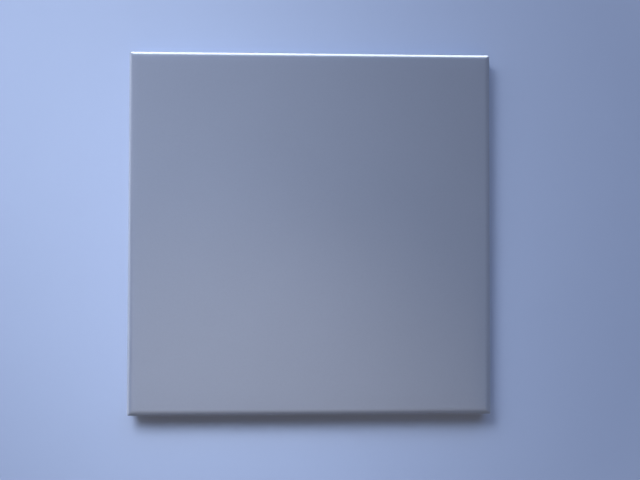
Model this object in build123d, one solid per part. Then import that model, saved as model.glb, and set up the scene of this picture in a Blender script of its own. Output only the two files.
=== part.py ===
from build123d import *

import os
from math import cos, radians, sin

# Glazed ceramic wall tile: one pressed and fired piece, lying on its back with the glazed face up.
# Millimetres, +Z up. The origin is the middle of the back, level with the ribs that the tile rests on.

# Driving dimensions of the body
SIDE = 150.0
THICKNESS = 6.5

# Cushion edge: the face eases down over a narrow border, rolls over a broad shoulder
# and turns round a tight nose into the side wall
FALL_WIDTH = 6.0
FALL_ANGLE = 1.5
SHOULDER_RADIUS = 4.5
SHOULDER_ANGLE = 34.0
NOSE_RADIUS = 0.6

# The side walls lean in towards the back, as the press needs, and the back edge is broken
WALL_DRAFT = 6.0
BACK_CHAMFER = 0.4

# Plan corners: almost sharp, so that the rounded edges meet in a mitre
CORNER_RADIUS = 0.6
CORNER_STEP = 22.5

# Keyed back: a grid of shallow pressed recesses between ribs that are level with the rim
RECESSES_PER_SIDE = 8
RIM_WIDTH = 7.8
RIB_WIDTH = 2.6
RECESS_DEPTH = 0.6
RECESS_DRAFT = 30.0
RECESS_CORNER_RADIUS = 2.5


def half_width(turn):
    """Distance from the middle of the rounded square to its outline, measured at this turn from a side."""
    angle = radians(turn % 90)
    to_corner_centre = SIDE / 2 - CORNER_RADIUS
    return to_corner_centre * (cos(angle) + sin(angle)) + CORNER_RADIUS


def section(reach):
    """Section of the tile, upright on XZ: level face, fall, shoulder, nose, drafted wall, broken back edge."""
    fall_slope = sin(radians(FALL_ANGLE))
    shoulder_slope = sin(radians(SHOULDER_ANGLE))
    fall_radius = FALL_WIDTH / fall_slope
    shoulder_width = SHOULDER_RADIUS * (shoulder_slope - fall_slope)
    nose_width = NOSE_RADIUS * (1 - shoulder_slope)
    level_reach = reach - nose_width - shoulder_width - FALL_WIDTH
    with BuildSketch(Plane.XZ) as profile:
        with BuildLine():
            face = Line((0, THICKNESS), (level_reach, THICKNESS))
            fall = JernArc(face @ 1, face % 1, fall_radius, -FALL_ANGLE)
            shoulder = JernArc(fall @ 1, fall % 1, SHOULDER_RADIUS, FALL_ANGLE - SHOULDER_ANGLE)
            nose = JernArc(shoulder @ 1, shoulder % 1, NOSE_RADIUS, SHOULDER_ANGLE - 90 - WALL_DRAFT)
            wall_length = ((nose @ 1).Y - BACK_CHAMFER) / cos(radians(WALL_DRAFT))
            wall = PolarLine(nose @ 1, wall_length, direction=nose % 1)
            back_edge = wall @ 1 - Vector(BACK_CHAMFER, BACK_CHAMFER)
            Polyline(wall @ 1, back_edge, (0, 0), (0, THICKNESS))
        make_face()
        mirror(about=Plane.YZ)
    return profile.sketch


def pressed_body():
    """What is common to bars of the section that lie across each other.

    The first bar and the one square to it make the four rounded edges and the mitres between them.
    The bars at the turns between ease the four plan corners.
    """
    body = extrude(section(half_width(0)), SIDE, both=True)
    for step in range(1, round(180 / CORNER_STEP)):
        turn = step * CORNER_STEP
        body &= Rot(0, 0, turn) * extrude(section(half_width(turn)), SIDE, both=True)
    return body


def back_key():
    """The tapered, round-cornered pads that press the recesses into the back."""
    ribs = (RECESSES_PER_SIDE - 1) * RIB_WIDTH
    recess_side = (SIDE - 2 * RIM_WIDTH - ribs) / RECESSES_PER_SIDE
    pitch = recess_side + RIB_WIDTH
    with BuildPart() as pads:
        with BuildSketch():
            with GridLocations(pitch, pitch, RECESSES_PER_SIDE, RECESSES_PER_SIDE):
                RectangleRounded(recess_side, recess_side, RECESS_CORNER_RADIUS)
        extrude(amount=RECESS_DEPTH, taper=RECESS_DRAFT)
    return pads.part


wall_tile = pressed_body() - back_key()

os.makedirs("parts", exist_ok=True)
export_step(wall_tile, "parts/wall_tile.step")
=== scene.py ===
from math import cos, pi, radians, sin, tan

import bmesh
import bpy
from mathutils import Matrix, Vector, noise


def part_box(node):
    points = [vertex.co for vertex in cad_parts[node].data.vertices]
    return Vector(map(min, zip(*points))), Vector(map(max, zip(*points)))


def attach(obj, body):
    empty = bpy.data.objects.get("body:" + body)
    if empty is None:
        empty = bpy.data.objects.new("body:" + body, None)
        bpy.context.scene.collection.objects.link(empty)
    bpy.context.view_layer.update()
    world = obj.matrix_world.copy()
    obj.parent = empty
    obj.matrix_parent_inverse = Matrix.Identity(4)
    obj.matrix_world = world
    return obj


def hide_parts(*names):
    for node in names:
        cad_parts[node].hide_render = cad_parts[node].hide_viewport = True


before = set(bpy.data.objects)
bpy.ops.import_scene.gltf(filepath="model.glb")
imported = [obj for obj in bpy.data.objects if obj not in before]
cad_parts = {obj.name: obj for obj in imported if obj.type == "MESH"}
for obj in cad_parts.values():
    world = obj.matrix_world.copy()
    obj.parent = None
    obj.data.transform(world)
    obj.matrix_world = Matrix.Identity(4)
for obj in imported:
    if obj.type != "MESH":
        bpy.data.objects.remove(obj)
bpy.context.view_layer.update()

# A glazed ceramic wall tile, lying on its back. Metres, +Z up, +Y towards the top of the picture.

MM = 0.001

# Sizes that come from the solid
NODE = "wall_tile"
TILE_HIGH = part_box(NODE)[1]
HALF_SIDE = TILE_HIGH.x
THICKNESS = TILE_HIGH.z

# Section of the solid: the face falls a little along its border, rolls over a shoulder, turns round
# a tight nose and leans in below
FALL_WIDTH = 6.0 * MM
FALL_ANGLE = radians(1.5)
SHOULDER_RADIUS = 4.5 * MM
SHOULDER_ANGLE = radians(34.0)
NOSE_RADIUS = 0.6 * MM
WALL_DRAFT = radians(6.0)
BACK_ROUND = 0.4 * MM
CORNER_RADIUS = 0.6 * MM

FALL_RADIUS = FALL_WIDTH / sin(FALL_ANGLE)
SHOULDER_WIDTH = SHOULDER_RADIUS * (sin(SHOULDER_ANGLE) - sin(FALL_ANGLE))
NOSE_WIDTH = NOSE_RADIUS * (1 - sin(SHOULDER_ANGLE))
FALL_DROP = FALL_RADIUS * (1 - cos(FALL_ANGLE))
SHOULDER_DROP = SHOULDER_RADIUS * (cos(FALL_ANGLE) - cos(SHOULDER_ANGLE))
WIDEST_HEIGHT = THICKNESS - FALL_DROP - SHOULDER_DROP - NOSE_RADIUS * cos(SHOULDER_ANGLE)

# Keyed back of the solid
RECESSES_PER_SIDE = 8
RIM_WIDTH = 7.8 * MM
RIB_WIDTH = 2.6 * MM
RECESS_DEPTH = 0.6 * MM
RECESS_DRAFT = radians(30.0)
RECESS_CORNER_RADIUS = 2.5 * MM

# Soft edges of the recesses: how far from the solid's sharp edge the easing starts on the rib and ends on
# the floor, and how far the surface has dropped at a point just before and a point just after that edge
EASE_ON_RIB = 0.15 * MM
EASE_ON_FLOOR = 0.18 * MM
EASE_NEAR_EDGE = 0.04 * MM
EASE_DROP_BEFORE = 0.012 * MM
EASE_DROP_AFTER = 0.09 * MM

# Glaze coat: its thickness, its softer mitres, and the uneven line where it ends on the side walls
GLAZE_THICKNESS = 0.2 * MM
GLAZE_MITRE_RADIUS = 0.35 * MM
GLAZE_FACE_CORNER_RADIUS = 3.0 * MM
GLAZE_LINE = 3.0 * MM
GLAZE_LINE_SWING = 0.28 * MM
GLAZE_WAVE_SIZE = 14 * MM
GLAZE_RIPPLE_SIZE = 3.5 * MM
GLAZE_RIPPLE_SHARE = 0.45

# Lip of the coat: at this height above the line, this share of the thickness is gone
GLAZE_LIP = ((0.5 * MM, 0.0), (0.22 * MM, 0.12), (0.08 * MM, 0.4), (0.0, 1.0))
LIP_CLEARANCE = 0.05 * MM

# Unevenness of the bare wall, and of the rounded edge between it and the back
WALL_DENT_DEPTH = 0.02 * MM
WALL_DENT_SIZE = 2.0 * MM
BACK_ROUND_SWING = 0.3
BACK_ROUND_SWING_SIZE = 1.6 * MM

# Seeds that set the runs of noise apart
WAVE_SEED = 3.1
RIPPLE_SEED = 7.7
WALL_SEED = 11.0
BACK_ROUND_SEED = 21.0

# Fineness of the meshes
SIDE_STEPS = 150
CORNER_STEPS = 8
FALL_STEPS = 8
SHOULDER_STEPS = 12
NOSE_STEPS = 10
WALL_STEPS = 4
BACK_ROUND_STEPS = 4
RECESS_SIDE_STEPS = 2
RECESS_CORNER_STEPS = 6
FLOOR_SIDES = 96
WELD_DISTANCE = 0.001 * MM
SHARP_ANGLE = radians(50)

# Camera: 31.5 mm lens on a 36 mm sensor, almost straight above. Its height and its aim are measured from
# the level at which the tile is widest.
SENSOR_WIDTH = 36.0
LENS = 31.5
CAMERA_HEIGHT = 232.5 * MM
CAMERA_PLACE = (-2.1 * MM, -7.1 * MM)
CAMERA_AIM = (3.9 * MM, -2.9 * MM)
CAMERA_ROLL = radians(0.1)
CAMERA_CLIP_START = 10 * MM

# Order of the tile's materials
GLAZE = 0
BISCUIT = 1

# Colours, linear
GLAZE_COLOUR = (0.19, 0.22, 0.316)
BISCUIT_COLOUR = (0.66, 0.61, 0.53)
KILN_WASH_COLOUR = (0.82, 0.8, 0.76)
SPECK_COLOUR = (0.3, 0.22, 0.16)
FLOOR_COLOUR = (0.31, 0.38, 0.59)
BACKDROP_LOW_COLOUR = (0.37, 0.45, 0.68)
BACKDROP_HIGH_COLOUR = (0.05, 0.055, 0.07)

# Glaze: its clouds, fine mottle and patches of gloss, what shows of the body where the coat is thin, and
# the swells and orange peel of the melted coat. Tints are factors on a colour.
GLAZE_CLOUD_SIZE = 45 * MM
GLAZE_CLOUD_TINTS = (0.97, 1.03)
MOTTLE_SIZE = 0.9 * MM
MOTTLE_TINT = 0.6
MOTTLE_SHARE = 0.05
GLOSS_PATCH_SIZE = 9 * MM
GLAZE_ROUGHNESS = (0.045, 0.085)
GLAZE_IOR = 1.6
THIN_GLAZE_SHARE = 0.12
SWELL_SIZE = 16 * MM
SWELL_HEIGHT = 0.012 * MM
PEEL_SIZE = 2.2 * MM
PEEL_SHARE = 0.12

# Bare body: its clouds, the kiln wash that ends between these heights above the rib tops, the specks with
# their core and outer reach as shares of the spacing, the grain and the press marks
BISCUIT_CLOUD_SIZE = 12 * MM
BISCUIT_CLOUD_TINTS = (0.9, 1.06)
WASH_HEIGHTS = (0.02 * MM, 0.15 * MM)
WASH_PATCH_SIZE = 5 * MM
WASH_SHARE = 0.7
SPECK_SPACING = 1.6 * MM
SPECK_REACH = (0.05, 0.13)
SPECK_SHARE = 0.55
BISCUIT_ROUGHNESS = 0.9
BISCUIT_SPECULAR = 0.2
GRAIN_SIZE = 0.25 * MM
GRAIN_HEIGHT = 0.05 * MM
GRAIN_STRENGTH = 0.8
PRESS_MARK_SIZE = 1.8 * MM
PRESS_MARK_SHARE = 1.5

# Floor: a disc that fades into the backdrop between these distances from the middle of the tile
FLOOR_RADIUS = 3.0
FLOOR_FADE = (0.15, 0.3)
FLOOR_CLOUD_SIZE = 60 * MM
FLOOR_CLOUD_TINTS = (0.98, 1.02)
FLOOR_ROUGHNESS = 0.6
FLOOR_SPECULAR = 0.1

# Studio light. A level of 1 all around would light a white surface as white. Angles are in degrees,
# azimuths anticlockwise from +X. The backdrop turns from its low to its high colour between two
# elevations.
BACKDROP_FADE = (8, 30)
ROOM_COLOUR = (0.015, 0.01, 0.005)
WINDOW_AZIMUTHS = (55, 120)
WINDOW_AZIMUTH_MARGIN = 10
# Lower and upper elevation, how softly each ends, level, colour
WINDOW_BANDS = (
    (17, 29, 6, 8, 2.7, (0.78, 1.0, 1.33)),
    (37, 46, 8, 12, 1.9, (0.78, 1.0, 1.33)),
)
# Azimuth and elevation of the middle, inner and outer reach, level, colour
OVERHEAD_GLOW = ((255, 63), 4, 36, 1.0, (1.0, 0.93, 0.83))
GLOWS = (
    OVERHEAD_GLOW,
    ((270, 20), 5, 40, 0.55, (1.0, 0.74, 0.5)),
)

# Cards are lamps that light the surfaces. Name, place, aim, width, height, level, colour, and the angle
# that the light fans out over
CARDS = (
    ("upper_left_card", (-0.24, 0.28, 0.26), (-0.06, 0.02, 0.0), 0.3, 0.2, 1.55, (0.97, 1.0, 0.97), 64),
    ("left_card", (-0.34, 0.13, 0.14), (-0.1, 0.0, 0.0), 0.3, 0.12, 1.85, (0.95, 0.98, 1.0), 180),
    ("lower_card", (-0.12, 0.26, 0.24), (-0.03, -0.14, 0.0), 0.12, 0.12, 1.4, (1.0, 1.0, 0.95), 38),
)

# Strips are lamps that stand along a side of the tile, this far outside it, and make the highlights of
# its rounded edge. Name, azimuth of the side, lower and upper end, level, colour
STRIP_GAP = 3 * MM
STRIPS = (
    ("top_strip", 90, 5.6 * MM, 8.2 * MM, 12.0, (0.9, 1.0, 1.12)),
    ("top_strip_fade", 90, 8.2 * MM, 9.8 * MM, 3.0, (0.88, 1.0, 1.15)),
    ("left_strip", 180, 5.5 * MM, 7.7 * MM, 2.6, (0.9, 0.97, 1.1)),
)


def outline(half, radius, side_steps, corner_steps):
    """Points of a rounded square, anticlockwise from the start of the +X side."""
    points = []
    straight = half - radius
    for quarter in range(4):
        turn = quarter * pi / 2
        along_x, along_y = -sin(turn), cos(turn)
        out_x, out_y = cos(turn), sin(turn)
        for step in range(side_steps):
            shift = straight * (2 * step / side_steps - 1)
            points.append((half * out_x + shift * along_x, half * out_y + shift * along_y))
        for step in range(corner_steps):
            angle = turn + pi / 2 * step / corner_steps
            centre_x = straight * (out_x + along_x)
            centre_y = straight * (out_y + along_y)
            points.append((centre_x + radius * cos(angle), centre_y + radius * sin(angle)))
    return points


def smooth_step(value, start, end):
    """0 up to the start, 1 from the end on, and a smooth rise between them."""
    share = min(1.0, max(0.0, (value - start) / (end - start)))
    return share * share * (3 - 2 * share)


def glaze_corner_radius(inset):
    """Plan radius of the glaze at this distance in from the outline: soft mitres, rounder on the face."""
    edge_width = NOSE_WIDTH + SHOULDER_WIDTH
    edge = CORNER_RADIUS + (GLAZE_MITRE_RADIUS - CORNER_RADIUS) * smooth_step(inset, 0, edge_width)
    face = smooth_step(inset, edge_width, edge_width + FALL_WIDTH)
    return edge + (GLAZE_FACE_CORNER_RADIUS - edge) * face


def face_section():
    """(inset, height) from the edge of the level face over the fall, shoulder and nose to the wall."""
    section = []
    inset = NOSE_WIDTH + SHOULDER_WIDTH + FALL_WIDTH
    height = THICKNESS
    start = 0.0
    arcs = (
        (FALL_RADIUS, FALL_ANGLE, FALL_STEPS),
        (SHOULDER_RADIUS, SHOULDER_ANGLE, SHOULDER_STEPS),
        (NOSE_RADIUS, pi / 2 + WALL_DRAFT, NOSE_STEPS),
    )
    for radius, end, steps in arcs:
        for step in range(steps):
            angle = start + (end - start) * step / steps
            section.append((
                inset - radius * (sin(angle) - sin(start)),
                height - radius * (cos(start) - cos(angle)),
            ))
        inset -= radius * (sin(end) - sin(start))
        height -= radius * (cos(start) - cos(end))
        start = end
    section.append((inset, height))
    return section


def add_ring(mesh, points, height):
    """A level ring of vertices."""
    return [mesh.verts.new((x, y, height)) for x, y in points]


def join_rings(mesh, upper, lower, material):
    """Quads between two closed rings of as many points, facing outwards from the tile."""
    count = len(upper)
    for i in range(count):
        j = (i + 1) % count
        face = mesh.faces.new((upper[i], lower[i], lower[j], upper[j]))
        face.material_index = material
        face.smooth = True


def uneven(x, y, size, seed):
    """Smooth noise from about -1 to 1 along the outline, with features of this size."""
    return noise.noise(Vector((x / size, y / size, seed)))


def glaze_line_height(x, y):
    """Height at which the glaze ends on the side wall at this place."""
    wave = uneven(x, y, GLAZE_WAVE_SIZE, WAVE_SEED)
    ripple = uneven(x, y, GLAZE_RIPPLE_SIZE, RIPPLE_SEED)
    return GLAZE_LINE + GLAZE_LINE_SWING * (wave + GLAZE_RIPPLE_SHARE * ripple)


def wall_inset(wall_top, height):
    """How far in from the outline the side wall is at this height, below its upper end (inset, height)."""
    top_inset, top_height = wall_top
    return top_inset + (top_height - height) * tan(WALL_DRAFT)


def add_wall_vertex(mesh, x, y, inset, height):
    """A vertex at this height, moved in by the inset from this point of the outline."""
    shrink = 1 - inset / HALF_SIDE
    return mesh.verts.new((x * shrink, y * shrink, height))


def build_face(mesh, section):
    """The level face, and the rings over the fall, shoulder and nose around it."""
    rings = []
    for inset, height in section:
        points = outline(HALF_SIDE - inset, glaze_corner_radius(inset), SIDE_STEPS, CORNER_STEPS)
        rings.append(add_ring(mesh, points, height))
    level_face = mesh.faces.new(rings[0])
    level_face.material_index = GLAZE
    level_face.smooth = True
    return rings


def build_lip(mesh, around, wall_top):
    """Rings down the glazed wall and over the lip, where the coat thins to nothing at the glaze line."""
    highest = wall_top[1] - LIP_CLEARANCE
    rings = []
    for above_line, thinned in GLAZE_LIP:
        ring = []
        for x, y in around:
            height = min(glaze_line_height(x, y) + above_line, highest)
            inset = wall_inset(wall_top, height) + thinned * GLAZE_THICKNESS
            ring.append(add_wall_vertex(mesh, x, y, inset, height))
        rings.append(ring)
    return rings


def build_bare_wall(mesh, around, wall_top):
    """Slightly uneven rings from the glaze line down to the rounded edge of the back."""
    rings = []
    for step in range(1, WALL_STEPS + 1):
        ring = []
        for x, y in around:
            start = glaze_line_height(x, y)
            height = start + (BACK_ROUND - start) * step / WALL_STEPS
            inset = wall_inset(wall_top, height) + GLAZE_THICKNESS
            inset += WALL_DENT_DEPTH * uneven(x, y, WALL_DENT_SIZE, WALL_SEED + step)
            ring.append(add_wall_vertex(mesh, x, y, inset, height))
        rings.append(ring)
    return rings


def build_back_round(mesh, around, wall_top):
    """Rings over the rounded edge between the side wall and the back."""
    rings = []
    for step in range(1, BACK_ROUND_STEPS + 1):
        angle = pi / 2 * step / BACK_ROUND_STEPS
        ring = []
        for x, y in around:
            swing = 1 + BACK_ROUND_SWING * uneven(x, y, BACK_ROUND_SWING_SIZE, BACK_ROUND_SEED)
            inset = wall_inset(wall_top, BACK_ROUND) + GLAZE_THICKNESS
            inset += BACK_ROUND * (1 - cos(angle)) * swing
            ring.append(add_wall_vertex(mesh, x, y, inset, BACK_ROUND * (1 - sin(angle))))
        rings.append(ring)
    return rings


def build_sides(mesh):
    """All but the back: the glazed face, edge and lip, then the bare wall and its rounded edge."""
    section = face_section()
    wall_top = section[-1]
    around = outline(HALF_SIDE, CORNER_RADIUS, SIDE_STEPS, CORNER_STEPS)
    glazed = build_face(mesh, section) + build_lip(mesh, around, wall_top)
    bare = glazed[-1:] + build_bare_wall(mesh, around, wall_top) + build_back_round(mesh, around, wall_top)
    for rings, material in ((glazed, GLAZE), (bare, BISCUIT)):
        for upper, lower in zip(rings, rings[1:]):
            join_rings(mesh, upper, lower, material)


def recess_rings():
    """(distance in from the mouth, height) of the rings from a rib's top to the floor of a recess."""
    run = RECESS_DEPTH * tan(RECESS_DRAFT)
    return (
        (-EASE_ON_RIB, 0.0),
        (-EASE_NEAR_EDGE, EASE_DROP_BEFORE),
        (EASE_NEAR_EDGE, EASE_DROP_AFTER),
        (run - EASE_NEAR_EDGE, RECESS_DEPTH - EASE_DROP_AFTER),
        (run + EASE_NEAR_EDGE, RECESS_DEPTH - EASE_DROP_BEFORE),
        (run + EASE_ON_FLOOR, RECESS_DEPTH),
    )


def build_cell(mesh, centre_x, centre_y, recess_half, cell_half):
    """One recess of the back with its half of the ribs around it."""
    mouth = outline(recess_half, RECESS_CORNER_RADIUS, RECESS_SIDE_STEPS, RECESS_CORNER_STEPS)
    border = []
    for x, y in mouth:
        reach = cell_half / max(abs(x), abs(y))
        border.append(mesh.verts.new((centre_x + x * reach, centre_y + y * reach, 0.0)))
    rings = [border]
    for inset, height in recess_rings():
        points = outline(
            recess_half - inset, RECESS_CORNER_RADIUS - inset, RECESS_SIDE_STEPS, RECESS_CORNER_STEPS
        )
        places = [(centre_x + x, centre_y + y) for x, y in points]
        rings.append(add_ring(mesh, places, height))
    for outer, inner in zip(rings, rings[1:]):
        join_rings(mesh, outer, inner, BISCUIT)
    bottom = mesh.faces.new(list(reversed(rings[-1])))
    bottom.material_index = BISCUIT
    bottom.smooth = True
    return border


def build_back(mesh):
    """The grid of recesses, and the rim between it and the edge of the back, which closes the mesh."""
    ribs = (RECESSES_PER_SIDE - 1) * RIB_WIDTH
    recess_half = (HALF_SIDE - RIM_WIDTH - ribs / 2) / RECESSES_PER_SIDE
    pitch = 2 * recess_half + RIB_WIDTH
    first = -pitch * (RECESSES_PER_SIDE - 1) / 2
    borders = []
    for column in range(RECESSES_PER_SIDE):
        for row in range(RECESSES_PER_SIDE):
            centre_x = first + column * pitch
            centre_y = first + row * pitch
            borders += build_cell(mesh, centre_x, centre_y, recess_half, pitch / 2)
    bmesh.ops.remove_doubles(mesh, verts=borders, dist=WELD_DISTANCE)
    open_edges = [edge for edge in mesh.edges if len(edge.link_faces) == 1]
    filled = bmesh.ops.triangle_fill(
        mesh, use_beauty=True, use_dissolve=False, edges=open_edges, normal=(0, 0, -1)
    )
    for face in filled["geom"]:
        if isinstance(face, bmesh.types.BMFace):
            face.material_index = BISCUIT
            face.smooth = True


def build_tile():
    """The tile as one closed mesh."""
    mesh = bmesh.new()
    build_sides(mesh)
    build_back(mesh)
    bmesh.ops.recalc_face_normals(mesh, faces=mesh.faces)
    data = bpy.data.meshes.new("fired_tile")
    mesh.to_mesh(data)
    mesh.free()
    data.set_sharp_from_angle(angle=SHARP_ANGLE)
    tile = bpy.data.objects.new("fired_tile", data)
    bpy.context.scene.collection.objects.link(tile)
    return tile


def new_node(tree, kind, inputs=None, **settings):
    """A node of this kind. An input is named or numbered, and takes a value or another node's output."""
    made = tree.nodes.new(kind)
    for name, value in settings.items():
        setattr(made, name, value)
    for key, value in (inputs or {}).items():
        if isinstance(value, bpy.types.NodeSocket):
            tree.links.new(value, made.inputs[key])
        else:
            made.inputs[key].default_value = value
    return made


def new_material(name):
    """A material with one Principled shader, and the coordinates of its surface in the shared frame."""
    material = bpy.data.materials.new(name)
    material.use_nodes = True
    tree = material.node_tree
    tree.nodes.clear()
    shader = new_node(tree, "ShaderNodeBsdfPrincipled")
    new_node(tree, "ShaderNodeOutputMaterial", {"Surface": shader.outputs["BSDF"]})
    place = new_node(tree, "ShaderNodeTexCoord").outputs["Object"]
    return material, tree, shader, place


def noise_at(tree, place, size, detail=2.0, roughness=0.5):
    """Noise from 0 to 1 with features of this size."""
    made = new_node(
        tree,
        "ShaderNodeTexNoise",
        {"Vector": place, "Scale": 1 / size, "Detail": detail, "Roughness": roughness},
    )
    return made.outputs["Fac"]


def spread(tree, value, low, high, from_low=0.0, from_high=1.0, kind="LINEAR"):
    """value moved from one range to another, and kept inside it."""
    made = new_node(
        tree,
        "ShaderNodeMapRange",
        {"Value": value, "From Min": from_low, "From Max": from_high, "To Min": low, "To Max": high},
        interpolation_type=kind,
    )
    return made.outputs["Result"]


def mix_colours(tree, share, first, second):
    """first where the share is 0, second where it is 1. Each is a colour or another node's output."""
    made = new_node(tree, "ShaderNodeMix", {0: share}, data_type="RGBA")
    # The colours of this node are its inputs 6 and 7, and its output 2
    for number, colour in ((6, first), (7, second)):
        if isinstance(colour, bpy.types.NodeSocket):
            tree.links.new(colour, made.inputs[number])
        else:
            made.inputs[number].default_value = (*colour, 1.0)
    return made.outputs[2]


def tinted(colour, factor):
    """The colour made darker or lighter by this factor."""
    return tuple(channel * factor for channel in colour)


def clouded(tree, place, colour, size, detail, tints):
    """The colour in cloudy patches of this size, between two tints."""
    darker, lighter = tints
    cloud = noise_at(tree, place, size, detail)
    return mix_colours(tree, cloud, tinted(colour, darker), tinted(colour, lighter))


def math_node(tree, operation, *values):
    """The result of this operation on the values."""
    made = new_node(tree, "ShaderNodeMath", dict(enumerate(values)), operation=operation)
    return made.outputs[0]


def seen_share(tree):
    """1 for rays that show the backdrop: direct, mirrored or through glass. 0 for those that only light."""
    paths = new_node(tree, "ShaderNodeLightPath").outputs
    mirrored = math_node(tree, "ADD", paths["Is Glossy Ray"], paths["Is Transmission Ray"])
    return math_node(tree, "ADD", paths["Is Camera Ray"], mirrored)


def glaze_material():
    """Glossy opaque glaze with the faint waviness of a fired coat."""
    material, tree, shader, place = new_material("glaze")
    colour = clouded(tree, place, GLAZE_COLOUR, GLAZE_CLOUD_SIZE, 3.0, GLAZE_CLOUD_TINTS)
    mottle = spread(tree, noise_at(tree, place, MOTTLE_SIZE, 3.0), 0.0, MOTTLE_SHARE, 0.45, 0.75)
    colour = mix_colours(tree, mottle, colour, tinted(GLAZE_COLOUR, MOTTLE_TINT))
    # The coat is thinner round the edge and on the walls, where the pale body shows through a little
    normal = new_node(tree, "ShaderNodeTexCoord").outputs["Normal"]
    upward = new_node(tree, "ShaderNodeSeparateXYZ", {0: normal}).outputs["Z"]
    thin = spread(tree, upward, THIN_GLAZE_SHARE, 0.0, 0.05, 0.8, "SMOOTHSTEP")
    colour = mix_colours(tree, thin, colour, BISCUIT_COLOUR)
    tree.links.new(colour, shader.inputs["Base Color"])
    gloss = spread(tree, noise_at(tree, place, GLOSS_PATCH_SIZE, 2.0), *GLAZE_ROUGHNESS)
    tree.links.new(gloss, shader.inputs["Roughness"])
    shader.inputs["IOR"].default_value = GLAZE_IOR

    swell = noise_at(tree, place, SWELL_SIZE, 1.0)
    peel = noise_at(tree, place, PEEL_SIZE, 1.0)
    height = math_node(tree, "MULTIPLY_ADD", peel, PEEL_SHARE, swell)
    bump = new_node(tree, "ShaderNodeBump", {"Height": height, "Distance": SWELL_HEIGHT, "Strength": 1.0})
    tree.links.new(bump.outputs["Normal"], shader.inputs["Normal"])
    return material


def biscuit_material():
    """Bare fired body: matte, fine-grained and off-white."""
    material, tree, shader, place = new_material("biscuit")
    colour = clouded(tree, place, BISCUIT_COLOUR, BISCUIT_CLOUD_SIZE, 4.0, BISCUIT_CLOUD_TINTS)
    # Pale dust of the kiln wash on the rib tops, rubbed off in patches
    height = new_node(tree, "ShaderNodeSeparateXYZ", {0: place}).outputs["Z"]
    on_rib = spread(tree, height, 1.0, 0.0, *WASH_HEIGHTS)
    patches = noise_at(tree, place, WASH_PATCH_SIZE, 5.0, 0.65)
    wash = math_node(tree, "MULTIPLY", on_rib, spread(tree, patches, 0.0, WASH_SHARE, 0.4, 0.65))
    colour = mix_colours(tree, wash, colour, KILN_WASH_COLOUR)
    # Dark specks in the clay
    specks = new_node(tree, "ShaderNodeTexVoronoi", {"Vector": place, "Scale": 1 / SPECK_SPACING})
    speck = spread(tree, specks.outputs["Distance"], SPECK_SHARE, 0.0, *SPECK_REACH)
    colour = mix_colours(tree, speck, colour, SPECK_COLOUR)
    tree.links.new(colour, shader.inputs["Base Color"])
    shader.inputs["Roughness"].default_value = BISCUIT_ROUGHNESS
    shader.inputs["Specular IOR Level"].default_value = BISCUIT_SPECULAR

    grain = noise_at(tree, place, GRAIN_SIZE, 3.0, 0.7)
    press_marks = noise_at(tree, place, PRESS_MARK_SIZE, 3.0)
    relief = math_node(tree, "MULTIPLY_ADD", press_marks, PRESS_MARK_SHARE, grain)
    bump = new_node(
        tree, "ShaderNodeBump", {"Height": relief, "Distance": GRAIN_HEIGHT, "Strength": GRAIN_STRENGTH}
    )
    tree.links.new(bump.outputs["Normal"], shader.inputs["Normal"])
    return material


def floor_material():
    """Plain pale studio surface that fades into the backdrop."""
    material, tree, shader, place = new_material("floor")
    colour = clouded(tree, place, FLOOR_COLOUR, FLOOR_CLOUD_SIZE, 2.0, FLOOR_CLOUD_TINTS)
    tree.links.new(colour, shader.inputs["Base Color"])
    shader.inputs["Roughness"].default_value = FLOOR_ROUGHNESS
    shader.inputs["Specular IOR Level"].default_value = FLOOR_SPECULAR

    distance = new_node(tree, "ShaderNodeVectorMath", {0: place}, operation="LENGTH").outputs["Value"]
    far = spread(tree, distance, 0.0, 1.0, *FLOOR_FADE, "SMOOTHSTEP")
    backdrop = new_node(tree, "ShaderNodeEmission", {"Color": (*BACKDROP_LOW_COLOUR, 1.0)})
    share = math_node(tree, "MULTIPLY", far, seen_share(tree))
    both = new_node(tree, "ShaderNodeMixShader", {0: share, 1: shader.outputs[0], 2: backdrop.outputs[0]})
    tree.links.new(both.outputs[0], tree.nodes["Material Output"].inputs["Surface"])
    return material


def build_floor():
    """The floor disc that the tile lies on."""
    mesh = bmesh.new()
    bmesh.ops.create_circle(mesh, cap_ends=True, segments=FLOOR_SIDES, radius=FLOOR_RADIUS)
    data = bpy.data.meshes.new("floor")
    mesh.to_mesh(data)
    mesh.free()
    floor = bpy.data.objects.new("floor", data)
    data.materials.append(floor_material())
    bpy.context.scene.collection.objects.link(floor)


def direction(azimuth, elevation):
    """Unit vector towards this azimuth, anticlockwise from +X, and this elevation."""
    turn, rise = radians(azimuth), radians(elevation)
    return Vector((cos(turn) * cos(rise), sin(turn) * cos(rise), sin(rise)))


def add_lamp(name, place, aim, width, height, level, colour):
    """A soft rectangular lamp near the tile, facing its aim. level is the brightness of its face."""
    data = bpy.data.lights.new(name, "AREA")
    data.shape = "RECTANGLE"
    data.size = width
    data.size_y = height
    data.energy = level * pi * width * height
    data.color = colour
    lamp = bpy.data.objects.new(name, data)
    lamp.location = place
    lamp.rotation_euler = (Vector(place) - Vector(aim)).to_track_quat("Z", "Y").to_euler()
    lamp.visible_camera = False
    bpy.context.scene.collection.objects.link(lamp)
    return lamp


def add_card(name, place, aim, width, height, level, colour, spread_angle):
    """A lamp that lights the surfaces and isn't mirrored in the glaze."""
    card = add_lamp(name, place, aim, width, height, level, colour)
    card.data.spread = radians(spread_angle)
    card.visible_glossy = False


def add_strip(name, azimuth, low, high, level, colour):
    """A narrow upright lamp along one side of the tile, which only shows mirrored in the glaze."""
    reach = HALF_SIDE + STRIP_GAP
    middle = Vector((0, 0, (low + high) / 2))
    place = middle + reach * direction(azimuth, 0)
    strip = add_lamp(name, place, middle, 2 * reach, high - low, level, colour)
    strip.visible_diffuse = False


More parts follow.
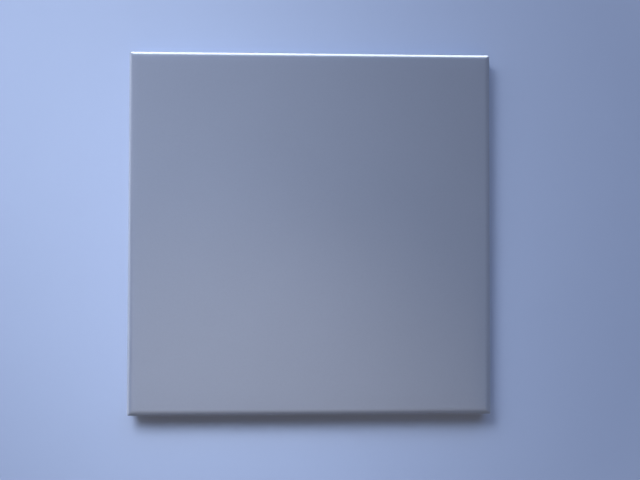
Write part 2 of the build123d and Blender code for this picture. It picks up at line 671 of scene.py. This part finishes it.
def add_camera():
    """The camera, almost straight above the tile."""
    data = bpy.data.cameras.new("camera")
    data.sensor_width = SENSOR_WIDTH
    data.lens = LENS
    camera = bpy.data.objects.new("camera", data)
    camera.location = (*CAMERA_PLACE, WIDEST_HEIGHT + CAMERA_HEIGHT)
    ahead = (Vector((*CAMERA_AIM, WIDEST_HEIGHT)) - camera.location).normalized()
    right = ahead.cross(Vector((0, 1, 0))).normalized()
    upright = Matrix((right, right.cross(ahead), -ahead)).transposed()
    camera.rotation_euler = (upright @ Matrix.Rotation(CAMERA_ROLL, 3, "Z")).to_euler()
    data.clip_start = CAMERA_CLIP_START
    bpy.context.scene.collection.objects.link(camera)
    bpy.context.scene.camera = camera


def soft_band(tree, angle, low, high, soft_low, soft_high):
    """1 between two angles in degrees, falling smoothly to 0 within the soft margins outside them."""
    rise = spread(tree, angle, 0.0, 1.0, radians(low - soft_low), radians(low))
    fall = spread(tree, angle, 1.0, 0.0, radians(high), radians(high + soft_high))
    return math_node(tree, "MULTIPLY", rise, fall)


def soft_spot(tree, towards, centre, inner, outer):
    """1 within the inner angle of a direction, falling smoothly to 0 at the outer angle, in degrees."""
    dot = new_node(tree, "ShaderNodeVectorMath", {0: towards, 1: centre}, operation="DOT_PRODUCT")
    edges = (cos(radians(outer)), cos(radians(inner)))
    return spread(tree, dot.outputs["Value"], 0.0, 1.0, *edges, "SMOOTHSTEP")


def add_light(tree, total, share, level, colour):
    """The light so far with one more light of this colour and level, where its share of the sky is 1."""
    full = tinted(colour, level)
    lit = new_node(tree, "ShaderNodeVectorMath", {0: full, "Scale": share}, operation="SCALE")
    both = new_node(tree, "ShaderNodeVectorMath", {0: total, 1: lit.outputs["Vector"]}, operation="ADD")
    return both.outputs["Vector"]


def add_glow(tree, total, towards, glow):
    """The light so far with one of the soft glows."""
    place, inner, outer, level, colour = glow
    share = soft_spot(tree, towards, direction(*place), inner, outer)
    return add_light(tree, total, share, level, colour)


def room_light(tree, towards, azimuth, elevation):
    """What lights the surfaces from all around: a dim room, a window in two bands, and the glows."""
    light = new_node(tree, "ShaderNodeCombineXYZ", dict(zip("XYZ", ROOM_COLOUR))).outputs["Vector"]
    across = soft_band(tree, azimuth, *WINDOW_AZIMUTHS, WINDOW_AZIMUTH_MARGIN, WINDOW_AZIMUTH_MARGIN)
    for low, high, soft_low, soft_high, level, colour in WINDOW_BANDS:
        band = soft_band(tree, elevation, low, high, soft_low, soft_high)
        light = add_light(tree, light, math_node(tree, "MULTIPLY", across, band), level, colour)
    for glow in GLOWS:
        light = add_glow(tree, light, towards, glow)
    return light


def backdrop_colour(tree, towards, elevation):
    """What the camera and the glaze see: a plain backdrop, paler when low, and the overhead glow."""
    fade_start, fade_end = (radians(angle) for angle in BACKDROP_FADE)
    height = spread(tree, elevation, 0.0, 1.0, fade_start, fade_end, "SMOOTHSTEP")
    backdrop = mix_colours(tree, height, BACKDROP_LOW_COLOUR, BACKDROP_HIGH_COLOUR)
    return add_glow(tree, backdrop, towards, OVERHEAD_GLOW)


def set_world():
    """The studio around the tile."""
    world = bpy.data.worlds.new("studio")
    bpy.context.scene.world = world
    world.use_nodes = True
    tree = world.node_tree
    tree.nodes.clear()
    towards = new_node(tree, "ShaderNodeTexCoord").outputs["Generated"]
    parts = new_node(tree, "ShaderNodeSeparateXYZ", {"Vector": towards})
    azimuth = math_node(tree, "ARCTAN2", parts.outputs["Y"], parts.outputs["X"])
    elevation = math_node(tree, "ARCSINE", parts.outputs["Z"])

    light = room_light(tree, towards, azimuth, elevation)
    backdrop = backdrop_colour(tree, towards, elevation)
    lit = new_node(tree, "ShaderNodeBackground", {"Color": light, "Strength": 1.0})
    shown = new_node(tree, "ShaderNodeBackground", {"Color": backdrop, "Strength": 1.0})
    both = new_node(
        tree, "ShaderNodeMixShader", {0: seen_share(tree), 1: lit.outputs[0], 2: shown.outputs[0]}
    )
    new_node(tree, "ShaderNodeOutputWorld", {"Surface": both.outputs[0]})


tile = build_tile()
tile.data.materials.append(glaze_material())
tile.data.materials.append(biscuit_material())
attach(tile, "root")
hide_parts(NODE)

build_floor()
set_world()
for card in CARDS:
    add_card(*card)
for strip in STRIPS:
    add_strip(*strip)
add_camera()

bpy.context.scene.view_settings.view_transform = "Standard"
